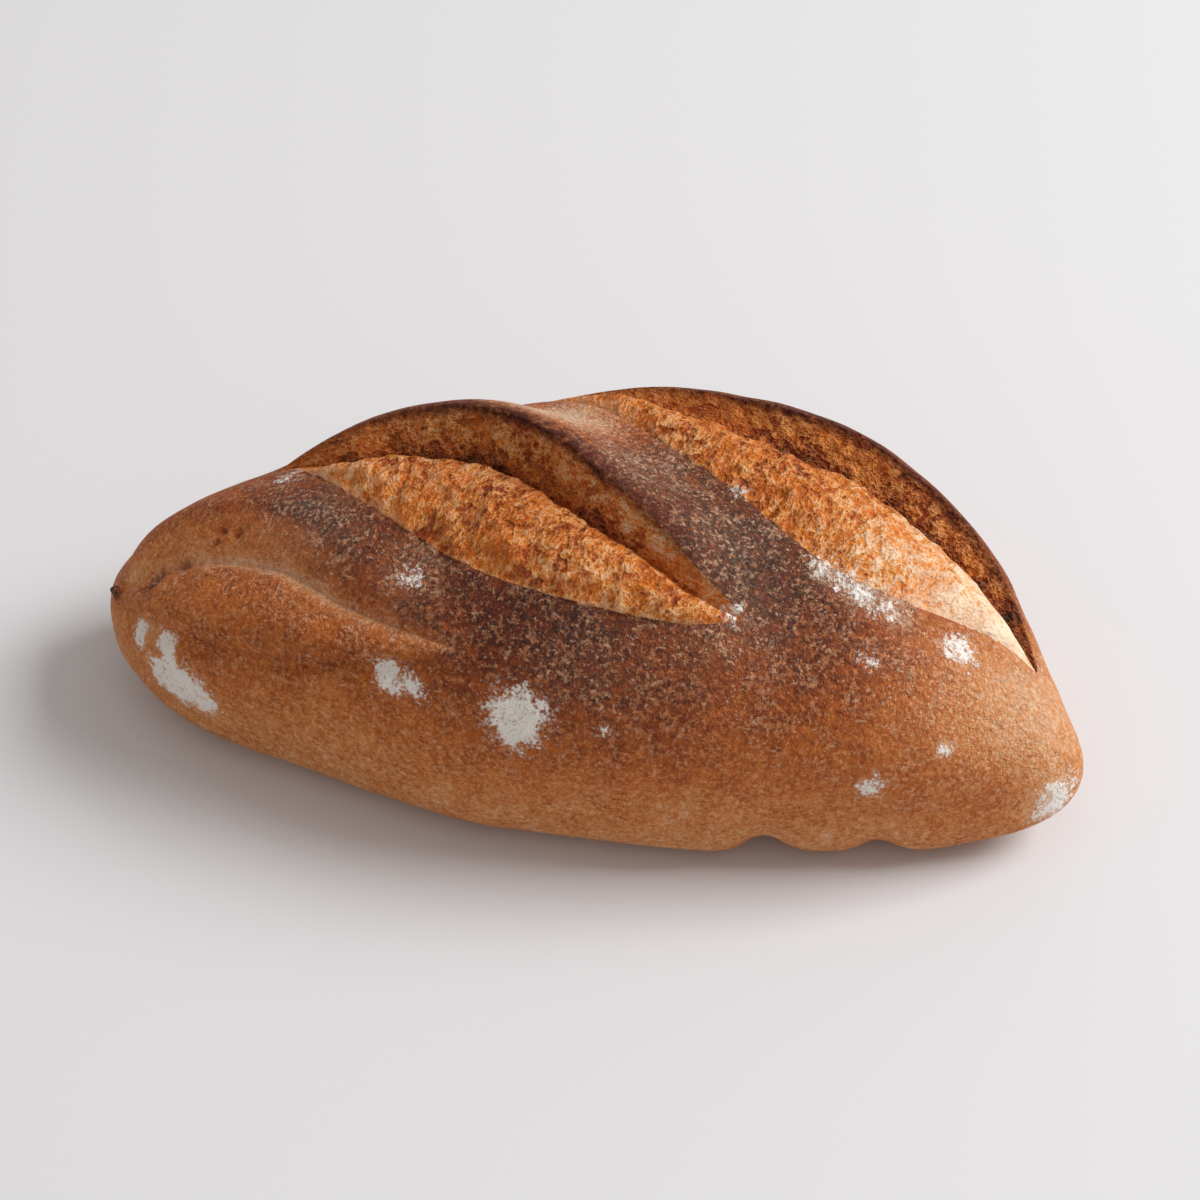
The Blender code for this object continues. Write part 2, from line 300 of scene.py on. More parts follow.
# Where the crust baked darker or stayed lighter than its height gives, and spots of painted light and shade:
# (x, roll, radius, amount)
BAKE_AND_PAINTED_LIGHT = (
    (0.010, -48, 0.024, 0.22),
    (-0.023, -42, 0.022, 0.24),
    (-0.069, -30, 0.022, 0.20),
    (-0.085, -12, 0.018, 0.16),
    # Behind the middle ear: paler crust, partly painted light on that face
    (-0.017, 32, 0.016, -0.42),
    (0.012, 9, 0.024, 0.18),
    (0.045, -12, 0.026, 0.28),
    (0.070, -25, 0.024, 0.10),
    # The top of the right end: paler crust, partly painted light
    (0.108, -30, 0.022, -0.18),
    (0.130, -12, 0.024, -0.30),
    (-0.060, -74, 0.034, -0.10),
    # The left end between its flour: lighter as painted light
    (-0.123, -62, 0.009, -0.24),
    (0.040, -95, 0.050, -0.05),
    # The low side of the right end: darker crust, partly painted shade
    (0.123, -86, 0.018, 0.12),
)
# Flour dusted thinly over the crust: (x, roll, radius, amount)
DUSTED = (
    (-0.076, -20, 0.020, 0.34),
    (-0.045, -34, 0.016, 0.26),
    (-0.017, 32, 0.018, 1.0),
    (0.012, 11, 0.022, 0.34),
    (0.040, -8, 0.022, 0.30),
    (0.045, -30, 0.020, 0.30),
    (0.010, -50, 0.020, 0.14),
    (0.068, -6, 0.0060, 0.80),
    (0.077, -8, 0.0065, 0.90),
    (0.088, -9, 0.0060, 0.75),
    (0.126, -5, 0.022, 0.55),
    (0.105, -20, 0.022, 0.35),
)


def outline(station, peak, blunt, taper):
    """1 at the peak, falling to 0 at both ends."""
    rightward = station > peak
    reach = np.where(rightward, 1.0 - peak, 1.0 + peak)
    share = np.clip(np.abs(station - peak) / reach, 0.0, 1.0)
    cap = np.sqrt(1.0 - share ** np.where(rightward, *blunt[::-1]))
    return cap * (1.0 - np.where(rightward, *taper[::-1]) * share**2)


def loaf_points(directions):
    """Points of the unscored loaf for unit vectors (one row each)."""
    station = np.clip(directions[:, 0], -1.0, 1.0)
    roll = np.arctan2(directions[:, 1], directions[:, 2])
    belly = END_RISE + (BELLY - END_RISE) * (1.0 - station**2)
    front = FRONT_REACH * outline(station, **FRONT_OUTLINE)
    off_middle = (station - DRAWN_IN["station"]) / DRAWN_IN["reach"]
    front *= 1.0 - DRAWN_IN["share"] * np.exp(-(off_middle**2))
    back = BACK_REACH * outline(station, **BACK_OUTLINE)
    above = (CROWN - BELLY) * outline(station, **CROWN_OUTLINE)
    below = (belly + SINK) * np.sqrt(1.0 - np.abs(station) ** UNDERSIDE_FULLNESS)
    side = np.where(np.sin(roll) > 0, back, front)
    upper = np.cos(roll) > 0
    rise = np.where(upper, above, below)
    squareness = np.where(upper, UPPER_SQUARENESS, LOWER_SQUARENESS)
    across = (np.abs(np.sin(roll)) / np.maximum(side, TINY)) ** squareness
    upright = (np.abs(np.cos(roll)) / np.maximum(rise, TINY)) ** squareness
    radius = (across + upright) ** (-1.0 / squareness)
    bend = np.where(station > 0, RIGHT_BEND, LEFT_BEND) * station**2
    backward = radius * np.sin(roll) - bend
    upward = belly + radius * np.cos(roll)
    return np.column_stack((station * LENGTH / 2, backward, upward))


def smooth(share):
    """Eases from 0 to 1 as share does."""
    share = np.clip(share, 0.0, 1.0)
    return share * share * (3.0 - 2.0 * share)


def swell(share, peak):
    """0 at both ends of a score and 1 at the peak."""
    return np.sin(math.pi * np.clip(share, 0.0, 1.0) ** (math.log(0.5) / math.log(peak)))


def unit(vectors):
    """The vectors, each scaled to a length of 1."""
    return vectors / np.maximum(np.linalg.norm(vectors, axis=1, keepdims=True), TINY)


def directions_of(places):
    """Unit vectors for places given as (x, roll)."""
    stations = np.array([x for x, _ in places]) / (LENGTH / 2)
    rolls = np.radians([roll for _, roll in places])
    ring = np.sqrt(1.0 - stations**2)
    return np.column_stack((stations, ring * np.sin(rolls), ring * np.cos(rolls)))


def route_points(route):
    """Points on the unscored loaf along a smooth curve through a route's (x, roll) points."""
    knots = directions_of(route)
    knots = np.vstack((2 * knots[0] - knots[1], knots, 2 * knots[-1] - knots[-2]))
    place = np.linspace(0.0, len(route) - 1.0, ROUTE_SAMPLES)
    span = np.minimum(place.astype(int), len(route) - 2)
    t = (place - span)[:, None]
    a, b, c, d = (knots[span + k] for k in range(4))
    squared = (2 * a - 5 * b + 4 * c - d) * t**2
    cubed = (3 * b - a - 3 * c + d) * t**3
    return loaf_points(unit(0.5 * (2 * b + (c - a) * t + squared + cubed)))


def nearest_on_route(points, normals, route):
    """For each point: its share of the route's length, its signed distance from the route (positive on
    the ear's side) and the direction of that distance."""
    line = route_points(route)
    tangents = unit(np.gradient(line, axis=0))
    length = np.concatenate(([0.0], np.cumsum(np.linalg.norm(np.diff(line, axis=0), axis=1))))
    nearest = np.empty(len(points), int)
    for start in range(0, len(points), BLOCK):
        block = points[start : start + BLOCK]
        gaps = (line**2).sum(1)[None, :] - 2.0 * block @ line.T
        nearest[start : start + BLOCK] = gaps.argmin(1)
    offset = points - line[nearest]
    tangent = tangents[nearest]
    half_step = 0.5 * length[-1] / ROUTE_SAMPLES
    along = np.clip((offset * tangent).sum(1), -half_step, half_step)
    offset -= along[:, None] * tangent
    sideways = unit(np.cross(normals, tangent))
    distance = np.linalg.norm(offset, axis=1) * np.sign((offset * sideways).sum(1))
    share = np.clip((length[nearest] + along) / length[-1], 0.0, 1.0)
    return share, distance, sideways


class Cut:
    """One score as it lies at each of the given points of the unscored loaf."""

    def __init__(self, points, normals, score):
        self.score = score
        self.normals = normals
        self.share, self.across, self.sideways = nearest_on_route(points, normals, score["crevice"])
        _, self.within, _ = nearest_on_route(points, normals, score["lip"])
        self.width = np.maximum(np.abs(self.across) + np.abs(self.within), TINY)
        self.opened = smooth(self.width / FULL_OPENING)
        self.deep = np.sqrt(swell(self.share, score["depth_peak"]))
        self.lifted = swell(self.share, score["ear_peak"])
        self.wall = np.maximum(score["wall"] * self.lifted**WALL_SHARE, TINY)
        self.in_crumb = (self.across <= 0.0) & (self.within > 0.0) & (self.width < WIDEST_OPENING)
        self.on_wall = (self.across > 0.0) & (self.across < self.wall)
        self.climb = np.clip(self.across / self.wall, 0.0, 1.0)
        self.place = points

    def moves(self):
        """How the score moves each point."""
        score, across = self.score, self.across
        deep = score["depth"] * self.deep
        towards_crevice = np.clip(self.within / self.width, 0.0, 1.0)
        mound = score["bulge"] * self.opened * np.sin(math.pi * towards_crevice ** score["bulge_skew"])
        gap = np.minimum(CREVICE_GAP, NARROW_GAP * self.width)
        crumb = mound - deep * smooth((across + gap) / gap)
        past_lip = (self.within + LIP_WIDTH / 2) / LIP_WIDTH
        lip = score["lip_rise"] * self.opened * np.exp(-(past_lip**2))

        ear = score["ear"] * self.lifted
        fade = 1.0 - smooth((across - self.wall) / EAR_FADE)
        off_rim = np.clip(np.abs(across - self.wall) / score["rim_round"], 0.0, 1.0)
        rim_loss = RIM_CUT * score["rim_round"] * (1.0 - off_rim) ** 2 * self.lifted
        wall = (deep + ear) * self.climb**WALL_CURVE - deep
        ear_side = np.where(self.on_wall, wall, ear * fade) - rim_loss
        lean = -score["lean"] * self.lifted * np.where(self.on_wall, self.climb**2, fade) * (across > 0.0)

        out = np.where(across > 0.0, ear_side, lip + np.where(self.in_crumb, crumb, 0.0))
        return out[:, None] * self.normals + lean[:, None] * self.sideways

    def crags(self):
        """How craggy the torn crumb or wall is at each point."""
        on_wall = np.where(self.on_wall, self.lifted, 0.0)
        return self.score["crags"] * np.where(self.in_crumb, self.opened, on_wall)

    def off_line(self):
        """How far each point is from the nearest of the score's crevice, rim and lip."""
        if self.score["skinned"]:
            return np.abs(self.across)
        off_rim = np.abs(self.across - self.wall)
        return np.minimum(np.abs(self.across), np.minimum(np.abs(self.within), off_rim))

    def fibres(self):
        """Each point's place, drawn together in the direction in which the torn fibres run."""
        stretch = np.where(self.across > 0.0, WALL_STRETCH, FIBRE_STRETCH)
        return self.place - (stretch * self.across)[:, None] * self.sideways

    def torn_depth(self):
        """How far each point lies inside the edge of what tore open, or outside it where negative."""
        outside = -np.maximum(np.abs(self.within), TINY)
        crumb = np.where(self.in_crumb, self.within, outside)
        return np.where(self.across > 0.0, self.wall - self.across, crumb)


def bump(points, x, roll, radius):
    """1 at a place on the unscored loaf, fading to 0 round it."""
    middle = loaf_points(directions_of(((x, roll),)))
    return np.exp(-((points - middle) ** 2).sum(1) / radius**2)


def dents(points, directions):
    """How deep each point lies in a pit or an arch, less the rise of the nub."""
    total = -NUB[-1] * bump(points, *NUB[:-1])
    for *place, depth in PITS:
        total += depth * bump(points, *place)
    roll = np.degrees(np.arctan2(directions[:, 1], directions[:, 2]))
    beneath = smooth((-roll - ARCH_START) / (ARCH_FULL - ARCH_START))
    for x, half_width, depth in ARCHES:
        total += depth * beneath * np.exp(-(((points[:, 0] - x) / half_width) ** 2))
    return total


def unevenness(points, size):
    """Smooth random heights between about -1 and 1, with lumps of the given size."""
    return np.array([noise.noise(Vector(p) / size) for p in points])


def vertex_normals(points, triangles):
    """Outward unit normals, averaged over the triangles round each point."""
    corners = points[triangles]
    facing = np.cross(corners[:, 1] - corners[:, 0], corners[:, 2] - corners[:, 0])
    total = np.zeros_like(points)
    for corner in range(3):
        for axis in range(3):
            total[:, axis] += np.bincount(triangles[:, corner], facing[:, axis], len(points))
    return unit(total)


def arrays_of(bm):
    """(unit vectors, triangles) of a bmesh sphere of triangles."""
    bm.verts.ensure_lookup_table()
    bm.verts.index_update()
    directions = unit(np.array([v.co for v in bm.verts]))
    return directions, np.array([[v.index for v in f.verts] for f in bm.faces])


def cuts_at(points, triangles):
    """The unscored loaf's normals at the points, and every score there."""
    normals = vertex_normals(points, triangles)
    return normals, [Cut(points, normals, score) for score in SCORES]


def edge_limit(cuts):
    """How long the mesh's edges may be at each point."""
    torn = np.max([cut.torn_depth() for cut in cuts if not cut.score["skinned"]], axis=0)
    off_line = np.min([cut.off_line() for cut in cuts], axis=0)
    limit = np.minimum(CRUMB_EDGE - EDGE_GROWTH * np.minimum(torn, 0.0), CRUST_EDGE)
    return np.minimum(limit, LINE_EDGE + EDGE_GROWTH * off_line)


def source_sphere():
    """Unit vectors and triangles of a sphere, finer where the loaf tore open."""
    bm = bmesh.new()
    bmesh.ops.create_icosphere(bm, subdivisions=START_DETAIL, radius=1.0)
    for _ in range(REFINEMENTS):
        directions, triangles = arrays_of(bm)
        points = loaf_points(directions)
        _, cuts = cuts_at(points, triangles)
        limit = edge_limit(cuts)
        shaped = points + sum(cut.moves() for cut in cuts)
        ends = np.array([[v.index for v in e.verts] for e in bm.edges])
        length = np.linalg.norm(shaped[ends[:, 0]] - shaped[ends[:, 1]], axis=1)
        edges = [e for e, long in zip(bm.edges, length > limit[ends].mean(1)) if long]
        bmesh.ops.subdivide_edges(bm, edges=edges, cuts=1, use_grid_fill=True)
        for vertex in bm.verts:
            vertex.co.normalize()
        bmesh.ops.triangulate(bm, faces=bm.faces)
    directions, triangles = arrays_of(bm)
    bm.free()
    return directions, triangles


def along_cut(cut, name):
    """A score's value at each point, from those at its back end, its middle and its front end."""
    return np.interp(cut.share, (0.0, 0.5, 1.0), cut.score[name])


def crust_bake_and_painted_light(heights, unscored):
    """How dark the crust is at each point, from 0, pale, to 1, nearly black: as it baked, with spots of
    painted light and shade.
    """
    risen = smooth((heights - PALE_HEIGHT) / (DARK_HEIGHT - PALE_HEIGHT))
    bake_and_painted_light = PALE_BAKE + (DARK_BAKE - PALE_BAKE) * risen
    for *place, amount in BAKE_AND_PAINTED_LIGHT:
        bake_and_painted_light += amount * bump(unscored, *place)
    return np.maximum(bake_and_painted_light, PALEST_BAKE)


def rim_burn(cut):
    """How burnt the crust is at each point behind an ear's rim."""
    past_rim = cut.across - cut.wall
    near_rim = smooth(1.0 + past_rim / RIM_BAND) * smooth(1.0 - past_rim / BURNT_WIDTH)
    return cut.score["burnt"] * cut.lifted * near_rim * (cut.across > 0.0)


def torn_tone(cut):
    """The tone of a score's crumb and wall at each point, from 0, pale, to 1, dark, with painted shade down
    the crevice and in the left score's lip crease, and painted light along that score's crease.
    """
    near_rim = smooth((cut.climb - RIM_START) / (1.0 - RIM_START))
    wall = along_cut(cut, "wall_tones") + cut.score["rim_tone"] * near_rim
    on_lip = np.exp(-((cut.within / LIP_LINE) ** 2))
    # On the left score the lip's tone is painted shade in its crease
    crumb = along_cut(cut, "crumb_tones") + cut.score["lip_tone_and_crease_shade"] * on_lip
    width = CREVICE_SHADE_WIDTH * np.where(cut.across > 0.0, 1.0, CREVICE_SHADE_FRONT)
    width *= 1.0 + RAGGED * unevenness(cut.place, RAGGED_SIZE)
    # Painted shade down the crevice; tones below 0 paint light instead, along the left score's crease
    crevice = along_cut(cut, "crevice_painted_shade_and_light") * cut.deep * np.exp(-((cut.across / width) ** 2))
    return np.where(cut.on_wall, wall, crumb) + crevice


def torn_coarseness(cut):
    """How coarse a score's crumb and wall are at each point."""
    on_wall = along_cut(cut, "wall_coarseness")
    return np.where(cut.on_wall, on_wall, along_cut(cut, "coarseness"))


def strongest(unscored, patches):
    """The strongest at each point of patches given as (x, roll, radius, amount)."""
    return np.max([amount * bump(unscored, *place) for *place, amount in patches], axis=0)


def shaped_points(directions, triangles, unscored, normals, cuts, coarseness):
    """The loaf's points, scored and with all of its relief, standing on the floor."""
    points = unscored.copy()
    rise = LUMP_RISE * unevenness(unscored, LUMP_SIZE) - dents(unscored, directions)
    crumbliness = np.zeros(len(points))
    for cut in cuts:
        points += cut.moves()
        crags = cut.crags()
        rise += CRAG_RISE * crags * unevenness(unscored, CRAG_SIZE)
        crumbliness = np.maximum(crumbliness, crags)
    points += rise[:, None] * normals

    scored_normals = vertex_normals(points, triangles)
    fine = np.zeros(len(points))
    for size, height in CRUST_RELIEF:
        fine += height * (1.0 - crumbliness) * unevenness(points, size)
    for size, height in CRUMB_RELIEF:
        fine += height * crumbliness * coarseness * unevenness(points, size)
    points += fine[:, None] * scored_normals
    points -= np.array(PLAN_SHIFT)
    points[:, 2] = np.maximum(points[:, 2], 0.0)
    return points


def surface_layers(cuts, torn, nearest, unscored, heights):
    """What the material reads at each point, by name."""
    tones = [torn_tone(cut) for cut in cuts]
    bake_and_painted_light = crust_bake_and_painted_light(heights, unscored)
    dust_and_crease_light = strongest(unscored, DUSTED)
    edge_widths = np.array([score["edge_width"] for score in SCORES])
    inside = MM_PER_METRE * torn / edge_widths[:, None]
    for cut, tone, share in zip(cuts, tones, smooth(0.5 + 0.5 * inside)):
        if cut.score["skinned"]:
            bake_and_painted_light += share * (tone - bake_and_painted_light)
            # Flour along the crease, paler also as painted light on its lit edge
            crease = cut.deep * np.exp(-((cut.across / CREASE_WIDTH) ** 2))
            dust_and_crease_light = np.maximum(dust_and_crease_light, CREASE_FLOUR_AND_LIGHT * crease)
    skinned = np.array([score["skinned"] for score in SCORES])[nearest]
    edge = np.where(skinned, -EDGE_REACH, np.clip(inside.max(0), -EDGE_REACH, EDGE_REACH))
    # The burnt nub and the painted shade in the pits darken the crust and the crumb alike
    scorched_and_pit_shade = np.sum([darker * bump(unscored, *place) for *place, darker in SCORCHED_AND_PIT_SHADE], axis=0)
    return {
        "torn": edge,
        "bake_and_painted_light": bake_and_painted_light + scorched_and_pit_shade,
        "tone": np.choose(nearest, tones) + scorched_and_pit_shade,
        "gold": np.choose(nearest, [along_cut(cut, "gold") for cut in cuts]),
        "burnt": np.max([rim_burn(cut) for cut in cuts], axis=0),
        "flour": strongest(unscored, FLOUR),
        "dust_and_crease_light": dust_and_crease_light,
    }


def loaf_mesh():
    """The loaf's mesh, with what its material reads at each point."""
    directions, triangles = source_sphere()
    unscored = loaf_points(directions)
    normals, cuts = cuts_at(unscored, triangles)
    torn = np.stack([cut.torn_depth() for cut in cuts])
    nearest = torn.argmax(0)
    coarseness = np.choose(nearest, [torn_coarseness(cut) for cut in cuts])
    fibres = np.choose(nearest[:, None], [cut.fibres() for cut in cuts])
    points = shaped_points(directions, triangles, unscored, normals, cuts, coarseness)
    layers = surface_layers(cuts, torn, nearest, unscored, points[:, 2])
    layers["coarseness"] = coarseness

    mesh = bpy.data.meshes.new("loaf_surface")
    mesh.from_pydata(points.tolist(), [], triangles.tolist())
    mesh.shade_smooth()
    for name, values in layers.items():
        layer = mesh.attributes.new(name, "FLOAT", "POINT")
        layer.data.foreach_set("value", values.astype(np.float32))
    layer = mesh.attributes.new("fibres", "FLOAT_VECTOR", "POINT")
    layer.data.foreach_set("vector", fibres.astype(np.float32).ravel())
    return mesh


def srgb(red, green, blue):
    """A colour as Blender's nodes take it, from its 0 to 255 values on screen."""
    shares = [value / 255.0 for value in (red, green, blue)]
    return tuple(s / 12.92 if s <= 0.04045 else ((s + 0.055) / 1.055) ** 2.4 for s in shares) + (1.0,)


class Nodes:
    """Makes the nodes of one material, each call returning the socket that holds its result."""

    def __init__(self, name):
        self.material = bpy.data.materials.new(name)
        self.material.use_nodes = True
        self.tree = self.material.node_tree
        self.shader = self.tree.nodes["Principled BSDF"]
        self.place = self.tree.nodes.new("ShaderNodeTexCoord").outputs["Object"]

    def put(self, socket, value):
        if isinstance(value, bpy.types.NodeSocket):
            self.tree.links.new(value, socket)
        else:
            socket.default_value = value

    def layer(self, name):
        """The value that the mesh's points carry under the name."""
        node = self.tree.nodes.new("ShaderNodeAttribute")
        node.attribute_name = name
        return node.outputs["Fac"]

    def vectors(self, name):
        """The vector that they carry under the name."""
        node = self.tree.nodes.new("ShaderNodeAttribute")
        node.attribute_name = name
        return node.outputs["Vector"]

    def maths(self, operation, *values, clamp=False):
        node = self.tree.nodes.new("ShaderNodeMath")
        node.operation = operation
        node.use_clamp = clamp
        for socket, value in zip(node.inputs, values):
            self.put(socket, value)
        return node.outputs[0]

    def noise(self, name, place=None):
        """One of the NOISES, mostly from -0.5 to 0.5."""
        size, detail, roughness, shift = NOISES[name]
        moved = self.tree.nodes.new("ShaderNodeVectorMath")
        moved.operation = "ADD"
        self.put(moved.inputs[0], self.place if place is None else place)
        moved.inputs[1].default_value = (shift, shift, shift)
        node = self.tree.nodes.new("ShaderNodeTexNoise")
        self.put(node.inputs["Vector"], moved.outputs[0])
        node.inputs["Scale"].default_value = 1.0 / size
        node.inputs["Detail"].default_value = detail
        node.inputs["Roughness"].default_value = roughness
        return self.maths("MULTIPLY_ADD", node.outputs["Fac"], 2.0, -1.0)

    def step(self, value, low, high):
        """Eases from 0 to 1 as value goes from low to high."""
        node = self.tree.nodes.new("ShaderNodeMapRange")
        node.interpolation_type = "SMOOTHSTEP"
        self.put(node.inputs["Value"], value)
        node.inputs["From Min"].default_value = low
        node.inputs["From Max"].default_value = high
        return node.outputs["Result"]

    def product(self, one, other):
        """one times other."""
        return self.maths("MULTIPLY", one, other)

    def add(self, value, *terms):
        """value plus each (socket, factor)."""
        for socket, factor in terms:
            value = self.maths("MULTIPLY_ADD", socket, factor, value)
        return value

    def weigh(self, value, sockets, name):
        """value plus each of the named sockets, times its weight in WEIGHTS."""
        return self.add(value, *((sockets[kind], weight) for kind, weight in WEIGHTS[name].items()))

    def mix(self, below, above, share):
        """A colour between below and above."""
        node = self.tree.nodes.new("ShaderNodeMix")
        node.data_type = "RGBA"
        self.put(node.inputs["Factor"], share)
        self.put(node.inputs[6], below)
        self.put(node.inputs[7], above)
        return node.outputs[2]

    def colours(self, value, stops):
        """A colour for each value, from (value, colour) stops."""
        node = self.tree.nodes.new("ShaderNodeValToRGB")
        self.put(node.inputs["Fac"], value)
        elements = node.color_ramp.elements
        elements[0].position, elements[0].color = stops[0]
        elements[1].position, elements[1].color = stops[-1]
        for position, colour in stops[1:-1]:
            elements.new(position).color = colour
        return node.outputs["Color"]

    def bumped(self, height, distance):
        """Normals for fine relief of the given height, where 1 is as high as distance."""
        node = self.tree.nodes.new("ShaderNodeBump")
        node.inputs["Distance"].default_value = distance
        self.put(node.inputs["Height"], height)
        return node.outputs["Normal"]


# The crust's and the crumb's colours, from 0, pale, to 1, dark
CRUST_STOPS = (
    (0.0, srgb(242, 202, 168)),
    (0.22, srgb(224, 150, 90)),
    (0.42, srgb(198, 110, 49)),
    (0.62, srgb(156, 78, 36)),
    (0.82, srgb(104, 50, 33)),
    (1.0, srgb(56, 32, 28)),
)
CRUMB_STOPS = (
    (0.0, srgb(253, 236, 212)),
    (0.20, srgb(247, 215, 180)),
    (0.40, srgb(232, 148, 70)),
    (0.58, srgb(194, 102, 42)),
    (0.78, srgb(128, 58, 24)),
    (1.0, srgb(44, 27, 16)),
)
SPECK_COLOUR = srgb(230, 158, 92)
FLECK_COLOUR = srgb(230, 166, 120)
BRIGHT_SPECK = srgb(244, 200, 162)
DUST_COLOUR = srgb(208, 182, 158)
FLOUR_COLOUR = srgb(255, 249, 240)
RED_CRUMB = srgb(184, 78, 40)
GOLD_CRUMB = srgb(226, 120, 36)
# A painted highlight on the crumb's raised strands
STRAND_HIGHLIGHT = srgb(250, 214, 166)
BURNT_COLOUR = srgb(86, 40, 29)

# Noises: (size, detail, roughness, a shift that sets it apart from the others)
NOISES = {
    "sand": (0.0010, 3.0, 0.7, 1.3),
    "blister": (0.0024, 2.0, 0.6, 0.0),
    "clusters": (0.0060, 2.0, 0.6, 4.2),
    "mottle": (0.014, 2.0, 0.55, 2.1),
    "flecks": (0.0016, 2.0, 0.65, 3.1),
    "bright": (0.0013, 2.0, 0.60, 5.7),
    "floury": (0.0014, 3.0, 0.65, 7.3),
    "curls": (0.0025, 2.0, 0.6, 3.7),
    "pores": (0.0030, 3.0, 0.6, 8.1),
    "grains": (0.0022, 2.0, 0.65, 15.3),
    "pits": (0.0055, 2.0, 0.6, 12.4),
    "redness": (0.007, 2.0, 0.5, 6.2),
    "golden": (0.016, 2.0, 0.5, 9.4),
    "clouds": (0.007, 3.0, 0.65, 5.5),
    "gaps": (0.0023, 3.0, 0.7, 6.6),
    "fringe": (0.0013, 3.0, 0.65, 9.2),
}
# How much of each noise or layer goes into what is added up from them
WEIGHTS = {
    "flecks": {"clusters": 0.34, "mottle": 0.16},
    "bright": {"clusters": 0.30, "dust_and_crease_light": 0.30},
    "floury": {"dust_and_crease_light": 0.35, "clusters": 0.30},
    "bake_and_painted_light": {"sand": 0.34, "blister": 0.22, "clusters": 0.18, "mottle": 0.16, "flecks": -0.09},
    "hollow": {"pores": 0.6, "grains": 0.8, "sand": 0.4, "pits": 0.6, "strands": -0.28},
    # The crumb's tone darkens in its hollows as painted shade and lightens on its strands as painted
    # highlight
    "uneven_and_hollow_shade": {"hollow": 0.56, "clusters": 0.22, "mottle": 0.16},
    "golden": {"gold": 0.35},
    "edge": {"blister": 0.8, "sand": 0.5},
    "patches": {"blister": 0.40, "clouds": 0.42, "sand": 0.50},
    "crust_height": {"sand": 1.0, "blister": 1.0, "flecks": 0.5},
    "roughness": {"torn": 0.20, "flour": 0.30},
}
# The values at which each starts to show and shows fully
LEVELS = {
    "flecks": (-0.04, 0.30),
    "bright": (0.18, 0.40),
    "floury": (0.10, 0.40),
    "strands": (0.0, 0.20),
    "pits": (0.12, 0.34),
    "redness": (-0.05, 0.30),
    "golden": (-0.10, 0.40),
    "torn": (-0.30, 0.30),
    "near_flour": (0.02, 0.22),
    "gaps": (0.10, 0.34),
    "solid": (0.34, 0.60),
    "sparse": (0.05, 0.40),
    "fringe": (0.08, 0.32),
}
BAKE_SHIFT = 0.03  # how much darker the whole crust is than its points say
FLECK_SHARE = 0.26  # how far a fleck hides the crust below it
BRIGHT_SHARE = 0.36  # the same for a bright speck, and how much more in dusted flour
BRIGHT_IN_DUST = 0.50
DUST_SHARE = 0.24  # the same for dusted flour, and how much more in its grains
FLOURY_SHARE = 0.60
RED_SHARE = 0.35  # how red coarse crumb turns, and how red its pits are
RED_PITS = 0.50
GOLD_SHARE = 0.44
# How far a painted highlight lights the crumb's raised strands
STRAND_HIGHLIGHT_SHARE = 0.10
CRUMB_FLECKS = 0.20  # how far a fleck hides fine crumb, which is more than it hides coarse crumb
GAP_SHARE = 0.55  # how far the crust shows through a gap in the flour
FRINGE_SHARE = 0.65  # how thick the grains are round a patch of flour
LEAST_UNEVEN = 0.25  # how uneven the finest crumb's tone is, with its painted shade in hollows, against coarse crumb's
CRUMB_SAND = 0.16  # how grainy all of its tone is
HOLLOWED = 0.08  # how hollow the crumb is before its pores and grains are counted
PALEST_COARSE = 0.34  # the palest tone that coarse crumb has
# How deep the crumb's hollows are where it is fine, and how much deeper where it is coarse
FINE_DEPTH = -0.4
COARSE_DEPTH = -2.0
BUMP_HEIGHT = 0.0006
CRUST_ROUGHNESS = 0.60
SPECULAR = 0.12


def crust_colour(n, grain, dust_and_crease_light):
    """The crust: baked, grainy, flecked and dusted, lighter and darker in places as painted light and shade.
    """
    crust = n.colours(n.maths("ADD", n.weigh(n.layer("bake_and_painted_light"), grain, "bake_and_painted_light"), BAKE_SHIFT), CRUST_STOPS)
    crust = n.mix(crust, FLECK_COLOUR, n.product(grain["flecks"], FLECK_SHARE))
    bright = n.step(n.weigh(n.noise("bright"), grain, "bright"), *LEVELS["bright"])
    brightened = n.add(BRIGHT_SHARE, (dust_and_crease_light, BRIGHT_IN_DUST))
    crust = n.mix(crust, BRIGHT_SPECK, n.product(bright, brightened))
    floury = n.step(n.weigh(n.noise("floury"), grain, "floury"), *LEVELS["floury"])
    return n.mix(crust, DUST_COLOUR, n.product(dust_and_crease_light, n.add(DUST_SHARE, (floury, FLOURY_SHARE))))


